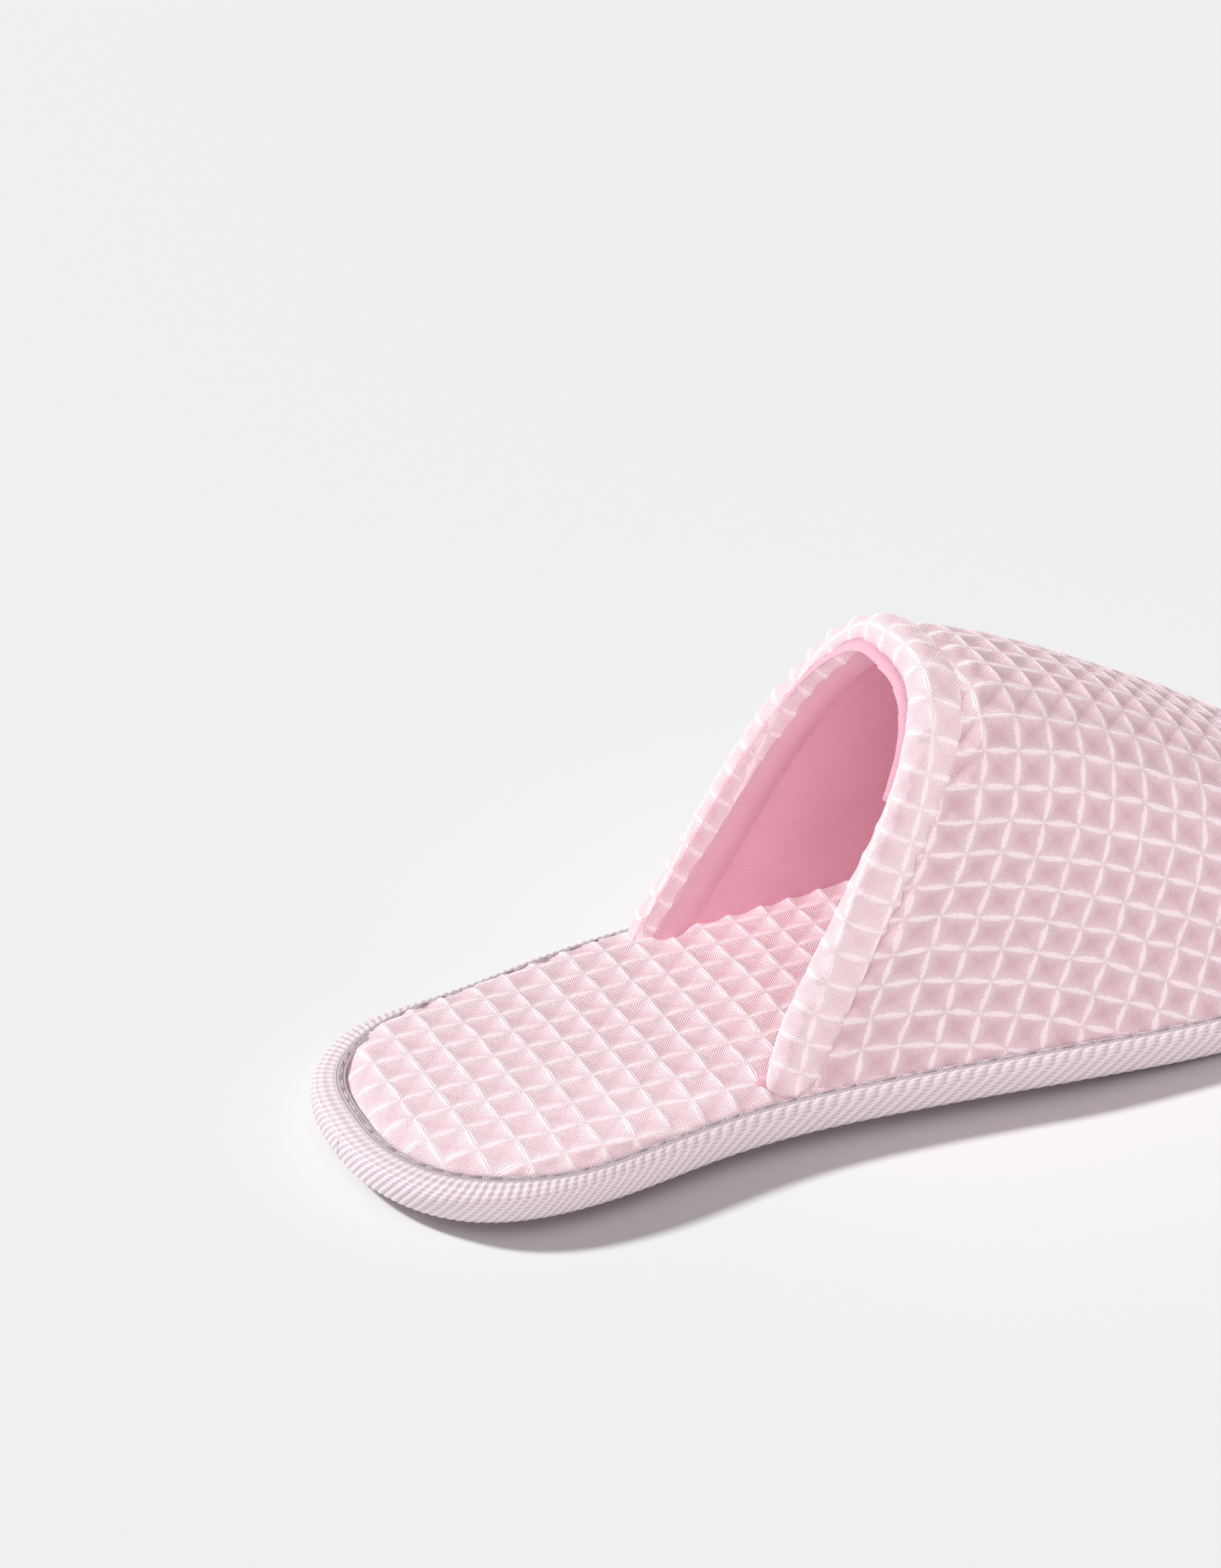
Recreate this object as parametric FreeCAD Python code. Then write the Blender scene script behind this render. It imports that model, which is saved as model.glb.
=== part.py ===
import FreeCAD, Part

import math
import os

# Open-back, closed-toe spa slipper for the left foot, all lengths in millimetres.
# +X runs from heel to toe, +Y points to the lateral (little toe) side, +Z is up.
# The origin is the centre of the footprint, on the ground.
# A station is a distance forward from the back of the heel.

# ---- Sole outline: widths, and half widths to each side of the centre line
sole_length = 275.0
heel_width = 77.5
ball_width = 97.5
waist_medial = 36.0
waist_lateral = 43.9
instep_medial = 42.0
instep_lateral = 45.4
toe_tip_medial = 6.0
heel_squareness = 2.4
toe_roundness = 2.3

# Stations of the same widths, as shares of the sole's length
heel_share = 0.138
waist_share = 0.265
instep_share = 0.455
ball_medial_share = 0.676
ball_lateral_share = 0.63

# ---- Sole layers, from the ground up
edge_lift = 2.6
edge_height = 7.0
outsole_thickness = 5.0
cover_thickness = 1.2
crown_rise = 3.2
crown_run = 10.0

# ---- Edge binding tape
tape_thickness = 1.1
top_lip = 4.0
bottom_lip = 6.0
top_round = 2.4
bottom_round = 1.6
lip_gap = 0.1
lap_station = 132.0
lap_length = 14.0
lap_thickness = 0.8

# ---- Tread
tread_groove_width = 2.4
tread_groove_depth = 0.8
tread_pitch = 9.0
tread_margin = 4.0
tread_zones = ((18.0, 66.0), (140.0, 246.0))

# ---- Upper: height above the seam ledge, layers from outside to inside
upper_height = 82.5
outer_thickness = 1.2
padding_thickness = 2.7
lining_thickness = 0.8
crest_station = 126.0
ridge_power = 1.3
toe_fullness = 0.86
medial_squareness = 3.3
lateral_squareness = 1.75
toe_squareness = 2.3
side_tuck = 3.0

# ---- Foot opening: a plane that leans forward, and the roll that binds its rim
opening_station = 88.0
opening_lean = 0.5
opening_skew = 0.094
roll_width = 11.0
roll_thickness = 7.0
rim_bite = 2.5
roll_seat_clearance = 0.4

# ---- Sewing thread
thread_radius = 0.25
edge_stitch_length = 2.8
edge_stitch_pitch = 4.4
needle_row_inset = 3.1
bobbin_row_inset = 4.2
rim_stitch_length = 3.0
rim_stitch_pitch = 5.0
rim_stitch_ahead = 4.6

# ---- Sizes that follow from the ones above
edge_top = edge_lift + edge_height
channel_floor = edge_lift + tape_thickness
ledge = edge_top - tape_thickness
upper_thickness = outer_thickness + padding_thickness + lining_thickness
roll_overhang = (roll_thickness - upper_thickness) / 2
seam_inset = top_lip + lip_gap
crown_inset = seam_inset + upper_thickness + roll_overhang + roll_seat_clearance
layer_depths = (0.0, outer_thickness, outer_thickness + padding_thickness, upper_thickness)
reach = 2 * sole_length

UP = FreeCAD.Vector(0, 0, 1)
OPENING_NORMAL = FreeCAD.Vector(1, -opening_skew, -opening_lean).normalize()


def at(station, y, z=0.0):
    """Point of the model for a distance from the back of the heel."""
    return FreeCAD.Vector(station - sole_length / 2, y, z)


def rounded_end(station, tip_station, tip_y, side_y, squareness, steps):
    """Quarter of a superellipse from the side of the sole round to just before its tip."""
    corners = []
    for step in range(steps):
        turn = math.pi / 2 * step / steps
        forward = math.sin(turn) ** (2 / squareness)
        sideways = math.cos(turn) ** (2 / squareness)
        corners.append(at(station + (tip_station - station) * forward, tip_y + (side_y - tip_y) * sideways))
    return corners


def outline_curve():
    """Closed edge line of the sole, heel to toe on the medial side and back on the lateral side."""
    heel, ball = heel_width / 2, ball_width / 2
    heel_station = heel_share * sole_length
    sides = []
    for side, waist, instep, ball_share in (
        (-1, waist_medial, instep_medial, ball_medial_share),
        (1, waist_lateral, instep_lateral, ball_lateral_share),
    ):
        back = rounded_end(heel_station, 0, 0, side * heel, heel_squareness, 4)
        middle = [at(waist_share * sole_length, side * waist), at(instep_share * sole_length, side * instep)]
        front = rounded_end(ball_share * sole_length, sole_length, -toe_tip_medial, side * ball,
                            toe_roundness, 4)
        sides.append(back[::-1] + middle + front)
    medial, lateral = sides
    curve = Part.BSplineCurve()
    corners = [at(0, 0)] + medial + [at(sole_length, -toe_tip_medial)] + lateral[::-1]
    curve.interpolate(Points=corners, PeriodicFlag=True)
    return curve


OUTLINE = outline_curve()


def ring(inset, z=0.0, count=56):
    """Points of the sole's edge line moved inwards by inset, at height z."""
    points = []
    first, last = OUTLINE.FirstParameter, OUTLINE.LastParameter
    for step in range(count):
        parameter = first + (last - first) * step / count
        along = OUTLINE.tangent(parameter)[0]
        inwards = UP.cross(along).normalize()
        points.append(OUTLINE.value(parameter) + inwards * inset + UP * z)
    return points


def ring_edge(inset, z):
    """Closed smooth edge through a ring."""
    curve = Part.BSplineCurve()
    curve.interpolate(Points=ring(inset, z), PeriodicFlag=True)
    return curve.toShape()


def ring_body(profile, hollow=False):
    """Solid whose wall follows (inset, z) points round the sole, closed by flat ends or, if hollow, on itself."""
    edges = [ring_edge(inset, z) for inset, z in profile]
    following = edges[1:] + edges[:1] if hollow else edges[1:]
    faces = [Part.makeRuledSurface(edge, after) for edge, after in zip(edges, following)]
    if not hollow:
        faces += [Part.Face(Part.Wire(edges[0])), Part.Face(Part.Wire(edges[-1]))]
    shell = Part.Shell(faces)
    shell.sewShape()
    return outward(Part.Solid(shell))


def outward(body):
    """The solid with its faces pointing out."""
    if body.Volume < 0:
        body.reverse()
    return body


def slab(inset, low, high):
    """Upright-sided plate of the sole's outline."""
    return ring_body([(inset, low), (inset, high)])


def rounded_wall(inset, low, high, low_round, high_round):
    """Profile of a wall from low to high whose two edges are rounded inwards."""
    profile = []
    for centre, radius, start in ((low + low_round, low_round, -90), (high - high_round, high_round, 0)):
        for step in range(4):
            turn = math.radians(start + 30 * step)
            profile.append((inset + radius * (1 - math.cos(turn)), centre + radius * math.sin(turn)))
    return profile


def channel_wall(low, high):
    """Part of the tape's inner wall between two heights, with its end points on the wall."""
    wall = rounded_wall(tape_thickness, channel_floor, ledge, bottom_round - tape_thickness / 2,
                        top_round - tape_thickness / 2)
    levels = sorted({low, high} | {z for _, z in wall if low < z < high})
    return [(inset_on(wall, level), level) for level in levels]


def inset_on(wall, level):
    """Inset of a wall's profile at one height."""
    for (inset, z), (next_inset, next_z) in zip(wall, wall[1:]):
        if z - 1e-9 <= level <= next_z + 1e-9:
            return inset + (next_inset - inset) * (level - z) / (next_z - z)
    raise ValueError(f"the wall has no height {level}")


def layer_block(low, high):
    """Block wider than the slipper between two heights."""
    return Part.makeBox(reach, reach, high - low, FreeCAD.Vector(-reach / 2, -reach / 2, low))


# ---- Sole

def crown(inset, low):
    """Profile of the insole's raised, softly rounded field above height low."""
    steps = 5
    profile = []
    for step in range(steps + 1):
        turn = math.pi / 2 * step / steps
        profile.append((inset + crown_run * (1 - math.cos(turn)), low + crown_rise * math.sin(turn)))
    return profile


def outsole():
    """Foam outsole: a flange held in the tape and a tread that stands on the ground."""
    tread_inset = bottom_lip + lip_gap
    foot = [(tread_inset, 0), (tread_inset, channel_floor)]
    return ring_body(foot + channel_wall(channel_floor, outsole_thickness)).cut(tread_grooves())


def tread_grooves():
    """Cross grooves under the heel and the forefoot, clear of the outsole's edge."""
    bars = []
    for start, end in tread_zones:
        count = int((end - start) / tread_pitch) + 1
        for index in range(count):
            corner = at(start + index * tread_pitch - tread_groove_width / 2, -reach / 2)
            bars.append(Part.makeBox(tread_groove_width, reach, tread_groove_depth, corner))
    return Part.Compound(bars).common(slab(bottom_lip + tread_margin, 0, tread_groove_depth))


def insole_foam():
    """Comfort foam between the outsole and the insole cover."""
    high = ledge - cover_thickness
    wall = channel_wall(outsole_thickness, high)
    return ring_body(wall + crown(crown_inset + cover_thickness, high))


def insole_cover():
    """Waffle cloth over the comfort foam."""
    low = ledge - cover_thickness
    under = crown(crown_inset + cover_thickness, low)
    return ring_body(channel_wall(low, ledge) + crown(crown_inset, ledge)).cut(ring_body(under))


def edge_binding():
    """Tape folded round the sole's edge, with a lip on the insole and one under the outsole."""
    outside = rounded_wall(0, edge_lift, edge_top, bottom_round, top_round)
    inside = channel_wall(channel_floor, outsole_thickness)
    inside += channel_wall(outsole_thickness, ledge - cover_thickness)[1:]
    inside += channel_wall(ledge - cover_thickness, ledge)[1:]
    lips_down = [(top_lip, edge_top), (top_lip, ledge)]
    lips_up = [(bottom_lip, channel_floor), (bottom_lip, edge_lift)]
    return ring_body(outside + lips_down + inside[::-1] + lips_up, hollow=True)


def edge_binding_lap():
    """Short end of the tape, lapped over its start on the lateral side."""
    tape_face = rounded_wall(0, edge_lift, edge_top, bottom_round, top_round)
    lap_face = rounded_wall(-lap_thickness, edge_lift, edge_top + lap_thickness, bottom_round,
                            top_round + lap_thickness)
    lap = ring_body(lap_face + [(top_lip, edge_top + lap_thickness), (top_lip, edge_top)] + tape_face[::-1],
                    hollow=True)
    window = Part.makeBox(lap_length, reach, reach, at(lap_station, 0, -reach / 2))
    return lap.common(window)


# ---- Upper

def side_reach(loop, x):
    """Medial and lateral y at which a closed ring of points crosses x."""
    crossings = []
    for start, end in zip(loop, loop[1:] + loop[:1]):
        if (start.x - x) * (end.x - x) <= 0 and start.x != end.x:
            crossings.append(start.y + (end.y - start.y) * (x - start.x) / (end.x - start.x))
    return min(crossings), max(crossings)


class Dome:
    """Smooth face of the upper at one depth below its outer surface."""

    def __init__(self, depth):
        self.depth = depth
        self.loop = ring(seam_inset + depth, ledge, 320)
        self.tip = max(point.x for point in self.loop)
        self.crest = at(crest_station, 0).x

    def point(self, x, turn):
        """Point at x, turned from 0 on the lateral side over the ridge to pi on the medial side."""
        forward = max(0.0, (x - self.crest) / (self.tip - self.crest))
        side, up = math.cos(turn), math.sin(turn)
        throat = medial_squareness if side < 0 else lateral_squareness
        squareness = throat + (toe_squareness - throat) * forward
        medial, lateral = side_reach(self.loop, x)
        height = (upper_height - self.depth) * (1 - forward ** ridge_power) ** toe_fullness
        radius = (abs(side) ** squareness + abs(up) ** squareness) ** (-1 / squareness)
        rise = radius * up
        tuck = 6.75 * rise * (1 - rise) ** 2 * side_tuck * (1 - forward) * math.copysign(1, side)
        y = (medial + lateral) / 2 + (lateral - medial) / 2 * radius * side - tuck
        return FreeCAD.Vector(x, y, ledge + height * rise)

    def rim_point(self, turn, ahead=0.0):
        """Point of the dome on the opening's plane moved forward by ahead."""
        x = at(opening_station, 0).x
        for _ in range(30):
            spot = self.point(x, turn)
            lean = opening_lean * (spot.z - ledge) + opening_skew * spot.y
            x = at(opening_station, 0).x + lean + ahead / OPENING_NORMAL.x
        return spot

    def solid(self):
        """Closed body between the dome and the seam ledge."""
        rear = at(opening_station, 0).x - roll_width * 2
        back_steps, front_steps, arch_steps = 4, 16, 30
        rows = [rear + (self.crest - rear) * step / back_steps for step in range(back_steps)]
        for step in range(front_steps):
            rows.append(self.crest + (self.tip - self.crest) * math.sin(math.pi / 2 * step / front_steps))
        grid = []
        for x in rows:
            grid.append([self.point(x, math.pi * step / arch_steps) for step in range(arch_steps + 1)])
        face = Part.BSplineSurface()
        face.interpolate(grid)
        return closed_dome(face)


def closed_dome(face):
    """Solid from an arched surface, its flat base and its two flat ends."""
    u0, u1, v0, v1 = face.bounds()
    back, front = face.uIso(u0).toShape(), face.uIso(u1).toShape()
    lateral, medial = face.vIso(v0).toShape(), face.vIso(v1).toShape()
    back_line = Part.makeLine(face.value(u0, v0), face.value(u0, v1))
    front_line = Part.makeLine(face.value(u1, v0), face.value(u1, v1))
    base = Part.Face(Part.Wire(Part.__sortEdges__([lateral, front_line, medial, back_line])))
    back_end = Part.Face(Part.Wire(Part.__sortEdges__([back, back_line])))
    front_end = Part.Face(Part.Wire(Part.__sortEdges__([front, front_line])))
    shell = Part.Shell([face.toShape(), base, back_end, front_end])
    shell.sewShape()
    return outward(Part.Solid(shell))


def front_of_opening(ahead):
    """Half space in front of the opening's plane, moved forward by ahead."""
    block = Part.makeBox(reach, reach, reach, FreeCAD.Vector(0, -reach / 2, -reach / 2))
    turn = FreeCAD.Rotation(FreeCAD.Vector(1, 0, 0), OPENING_NORMAL)
    foot = at(opening_station, 0, ledge) + OPENING_NORMAL * ahead
    block.Placement = FreeCAD.Placement(foot, turn)
    return block


def upper_layers():
    """The upper's cloth, foam and lining, each between two nested domes."""
    front = front_of_opening(-rim_bite)
    outer, padding, lining, cavity = [Dome(depth).solid().common(front) for depth in layer_depths]
    return {
        "upper_outer": outer.cut(padding),
        "upper_padding": padding.cut(lining),
        "upper_lining": lining.cut(cavity),
    }


def rim_line(depth, ahead, count):
    """Points along the opening's rim from the lateral to the medial foot."""
    dome = Dome(depth)
    return [dome.rim_point(math.pi * step / count, ahead) for step in range(count + 1)]


def opening_roll():
    """Full oval roll round the rim, before the layers it holds are taken out."""
    centres = rim_line(upper_thickness / 2, 0.0, 26)
    below = UP * -(ledge - edge_lift)
    centres = [centres[0] + below] + centres + [centres[-1] + below]
    ovals = []
    for index, centre in enumerate(centres):
        before = centres[max(index - 1, 0)]
        after = centres[min(index + 1, len(centres) - 1)]
        outwards = (after - before).cross(OPENING_NORMAL).normalize()
        tip = centre + OPENING_NORMAL * (roll_width / 2)
        side = centre + outwards * (roll_thickness / 2)
        ovals.append(Part.Wire(Part.Ellipse(tip, side, centre).toShape()))
    return Part.makeLoft(ovals, True, False)


def opening_binding(held_layers, tape):
    """Plump bias roll that wraps the raw rim of the upper."""
    roll = opening_roll().common(layer_block(ledge, reach))
    for piece in held_layers + [tape]:
        roll = roll.cut(piece)
    return max(roll.Solids, key=lambda solid: solid.Volume)


# ---- Sewing

def stitch(start, end):
    """One straight stitch of thread."""
    along = end - start
    return Part.makeCylinder(thread_radius, along.Length, start, along)


def stitch_row(points, length, pitch):
    """Stitches of one length at one pitch along a line of points."""
    path = Part.BSplineCurve()
    path.interpolate(Points=points)
    edge = path.toShape()
    count = int(edge.Length / pitch)
    stitches = []
    for index in range(count):
        middle = (index + 0.5) * edge.Length / count
        ends = []
        for offset in (-length / 2, length / 2):
            ends.append(edge.valueAt(edge.getParameterByLength(middle + offset)))
        stitches.append(stitch(*ends))
    return Part.Compound(stitches)


def edge_stitches(inset, z):
    """Row of stitches all round the sole."""
    loop = ring(inset, z)
    return stitch_row(loop + loop[:1], edge_stitch_length, edge_stitch_pitch)


def opening_stitches():
    """Row of stitches in the groove where the roll meets the outer cloth."""
    line = rim_line(-1.2 * thread_radius, rim_stitch_ahead, 40)
    return stitch_row(line[1:-1], rim_stitch_length, rim_stitch_pitch)


def build():
    """Every piece of the slipper by name."""
    tape = edge_binding()
    layers = upper_layers()
    pieces = {
        "outsole": outsole(),
        "insole_foam": insole_foam(),
        "insole_cover": insole_cover(),
        "edge_binding": tape,
        "edge_binding_lap": edge_binding_lap(),
        "edge_needle_thread": edge_stitches(needle_row_inset, edge_top + thread_radius),
        "edge_bobbin_thread": edge_stitches(bobbin_row_inset, edge_lift - thread_radius),
        "opening_binding": opening_binding(list(layers.values()), tape),
        "opening_seam_thread": opening_stitches(),
    }
    pieces.update(layers)
    return pieces


os.makedirs("parts", exist_ok=True)
for name, shape in build().items():
    box = shape.BoundBox
    print(f"{name:22s} solids {len(shape.Solids):3d} valid {shape.isValid()} volume {shape.Volume:10.1f}"
          f" x {box.XMin:7.1f} {box.XMax:6.1f} y {box.YMin:6.1f} {box.YMax:5.1f} z {box.ZMin:5.2f} {box.ZMax:5.1f}")
    shape.exportStep(f"parts/{name}.step")
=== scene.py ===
"""Looks of a padded waffle-cloth spa slipper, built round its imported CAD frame.

Every piece is in metres in the frame of the CAD model: +X to the toe, +Y to the lateral side, +Z up.
Pattern sizes are named in millimetres and turned to metres where a mesh is made.
"""
import logging
import math
from dataclasses import dataclass, field
from enum import Enum
from typing import Any, Optional

import bpy
import numpy as np
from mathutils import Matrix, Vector
from mathutils.bvhtree import BVHTree


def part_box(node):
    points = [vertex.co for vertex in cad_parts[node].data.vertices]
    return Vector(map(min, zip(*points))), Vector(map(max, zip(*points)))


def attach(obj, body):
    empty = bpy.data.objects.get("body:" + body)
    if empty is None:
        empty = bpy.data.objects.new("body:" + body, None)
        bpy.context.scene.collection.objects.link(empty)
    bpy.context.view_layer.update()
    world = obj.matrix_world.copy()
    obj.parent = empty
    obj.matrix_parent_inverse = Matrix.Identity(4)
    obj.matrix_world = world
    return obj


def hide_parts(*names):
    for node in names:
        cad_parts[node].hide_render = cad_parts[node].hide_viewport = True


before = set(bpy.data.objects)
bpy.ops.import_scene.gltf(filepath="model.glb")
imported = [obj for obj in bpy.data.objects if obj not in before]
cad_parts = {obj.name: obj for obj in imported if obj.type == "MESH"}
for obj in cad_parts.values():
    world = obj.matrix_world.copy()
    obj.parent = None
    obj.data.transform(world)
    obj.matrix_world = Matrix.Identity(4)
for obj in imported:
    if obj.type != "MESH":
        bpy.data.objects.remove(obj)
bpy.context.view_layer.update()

log = logging.getLogger("slipper")

MM = 0.001
BODY = "root"
SEED = 7


# ---------------------------------------------------------------- small helpers

def linear(code: str) -> tuple[float, float, float, float]:
    """Turn an sRGB hex colour into linear RGBA.

    Args:
        code: Six hex digits.

    Returns:
        Red, green and blue from 0 to 1 in linear light, and an alpha of 1.
    """
    values = [int(code[i:i + 2], 16) / 255 for i in (0, 2, 4)]
    red, green, blue = [v / 12.92 if v <= 0.04045 else ((v + 0.055) / 1.055) ** 2.4 for v in values]
    return red, green, blue, 1.0


def add_node(tree: bpy.types.NodeTree, kind: str, inputs: Optional[dict] = None,
             **settings: Any) -> bpy.types.Node:
    """Add a node with its settings, values and links.

    Args:
        tree: Node tree that gets the node.
        kind: Node type, such as ShaderNodeMath.
        inputs: Input name or number, and the value or output socket that goes there.
        settings: Properties of the node.

    Returns:
        The new node.
    """
    made = tree.nodes.new(kind)
    for name, value in settings.items():
        setattr(made, name, value)
    for key, value in (inputs or {}).items():
        if isinstance(value, bpy.types.NodeSocket):
            tree.links.new(value, made.inputs[key])
        else:
            made.inputs[key].default_value = value
    return made


def calc(tree: bpy.types.NodeTree, operation: str, *values: Any) -> bpy.types.NodeSocket:
    """Result of a math node on numbers or sockets."""
    return add_node(tree, "ShaderNodeMath", dict(enumerate(values)), operation=operation).outputs[0]


def wave(tree: bpy.types.NodeTree, place: Any, length: float, shape: str = "SINE") -> bpy.types.NodeSocket:
    """Wave from -1 to 1 that repeats each length along a place."""
    return calc(tree, shape, calc(tree, "MULTIPLY", place, math.tau / length))


def spread(tree: bpy.types.NodeTree, value: Any, low: float, high: float, first: float = 0.0,
           last: float = 1.0, **settings: Any) -> bpy.types.NodeSocket:
    """Value moved from the range low to high to the range first to last."""
    inputs = {0: value, 1: low, 2: high, 3: first, 4: last}
    return add_node(tree, "ShaderNodeMapRange", inputs, **settings).outputs[0]


def noise(tree: bpy.types.NodeTree, place: Any, scale: float, detail: float = 2.0,
          roughness: float = 0.5) -> bpy.types.NodeSocket:
    """Soft noise at a place, with so many features in one unit of it."""
    inputs = {"Vector": place, "Scale": scale, "Detail": detail, "Roughness": roughness}
    return add_node(tree, "ShaderNodeTexNoise", inputs).outputs[0]


def blend(tree: bpy.types.NodeTree, share: Any, *colours: Any) -> bpy.types.NodeSocket:
    """Mix of two colours, each a hex code or a socket."""
    first, last = [linear(colour) if isinstance(colour, str) else colour for colour in colours]
    return add_node(tree, "ShaderNodeMix", {0: share, 6: first, 7: last}, data_type="RGBA").outputs[2]


def bump(tree: bpy.types.NodeTree, height: Any, strength: float, depth: float) -> bpy.types.NodeSocket:
    """Normal of a surface with small heights on it, their depth in mm."""
    inputs = {"Height": height, "Strength": strength, "Distance": depth * MM}
    return add_node(tree, "ShaderNodeBump", inputs).outputs[0]


def cloth_places(tree: bpy.types.NodeTree) -> tuple[bpy.types.NodeSocket, Any]:
    """Place on the cloth in mm, and its parts along the warp and the weft."""
    cloth = add_node(tree, "ShaderNodeUVMap", uv_map="cloth").outputs[0]
    return cloth, add_node(tree, "ShaderNodeSeparateXYZ", {0: cloth}).outputs


def object_place(tree: bpy.types.NodeTree) -> bpy.types.NodeSocket:
    """Place on the object in metres."""
    return add_node(tree, "ShaderNodeTexCoord").outputs["Object"]


def smooth(value: np.ndarray, low: float, high: float) -> np.ndarray:
    """Smooth step from 0 at low to 1 at high."""
    t = np.clip((value - low) / (high - low), 0, 1)
    return t * t * (3 - 2 * t)


def soft_noise(u: np.ndarray, v: np.ndarray, period: float, seed: int) -> np.ndarray:
    """Gentle repeatable waviness from a few crossed sine waves.

    Args:
        u: First coordinate, in mm.
        v: Second coordinate, in mm.
        period: Typical wavelength, in mm.
        seed: Picks the directions and phases.

    Returns:
        Values of about -1 to 1.
    """
    rng = np.random.default_rng(seed)
    total = np.zeros(np.broadcast(u, v).shape)
    waves = 7
    for _ in range(waves):
        angle, phase = rng.uniform(0, math.tau, 2)
        length = period * rng.uniform(0.7, 1.6)
        total = total + np.sin(math.tau * (u * math.cos(angle) + v * math.sin(angle)) / length + phase)
    return total / math.sqrt(waves) / 1.5


def strayed(u: np.ndarray, v: np.ndarray, drift: float, period: float, seed: int) -> list[np.ndarray]:
    """Places along the warp and the weft with a slow drift and a quick unevenness, as hand-laid cloth has."""
    return [place + drift * soft_noise(u, v, period, SEED + seed + k)
            + 0.3 * soft_noise(u, v, 11, SEED + seed + 10 + k) for k, place in enumerate((u, v))]


def run_length(line: np.ndarray) -> np.ndarray:
    """Distance from a line's first point to each of its points, along the line."""
    return np.concatenate([[0], np.cumsum(np.linalg.norm(np.diff(line, axis=0), axis=1))])


def along_line(places: np.ndarray, length: np.ndarray, line: np.ndarray) -> np.ndarray:
    """Points of a line at the given distances along it."""
    return np.stack([np.interp(places, length, line[:, axis]) for axis in range(line.shape[1])], 1)


def mesh_points(mesh: bpy.types.Mesh) -> np.ndarray:
    """Coordinates of a mesh's points, one row for each."""
    flat = np.zeros(len(mesh.vertices) * 3)
    mesh.vertices.foreach_get("co", flat)
    return flat.reshape(-1, 3)


def weld() -> None:
    """Join the points of the active object that lie on each other."""
    bpy.ops.object.mode_set(mode="EDIT")
    bpy.ops.mesh.select_all(action="SELECT")
    bpy.ops.mesh.remove_doubles(threshold=1e-6)
    bpy.ops.object.mode_set(mode="OBJECT")


def node_surface(*names: str) -> BVHTree:
    """Ray-casting tree over one or more CAD nodes."""
    points: list[Vector] = []
    faces: list[tuple[int, ...]] = []
    for name in names:
        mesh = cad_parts[name].data
        start = len(points)
        points += [vertex.co.copy() for vertex in mesh.vertices]
        faces += [tuple(start + i for i in polygon.vertices) for polygon in mesh.polygons]
    return BVHTree.FromPolygons(points, faces)


@dataclass(frozen=True)
class Rocker:
    """Gentle curve of the sole, which lies lower under the ball and toes than under the heel.

    Attributes:
        drop: How far the front lies below the heel, in mm.
        start: Place along the sole where it starts to go down, in mm.
        end: Place along the sole where it has gone down, in mm.
    """

    drop: float = 2.0
    start: float = -8.0
    end: float = 58.0

    def settle(self, points: np.ndarray) -> np.ndarray:
        """The points, in metres, brought down with the sole under them."""
        moved = points.copy()
        moved[..., 2] -= self.drop * MM * smooth(points[..., 0] / MM, self.start, self.end)
        return moved


ROCKER = Rocker()


# ---------------------------------------------------------------- cloth surfaces

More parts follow.
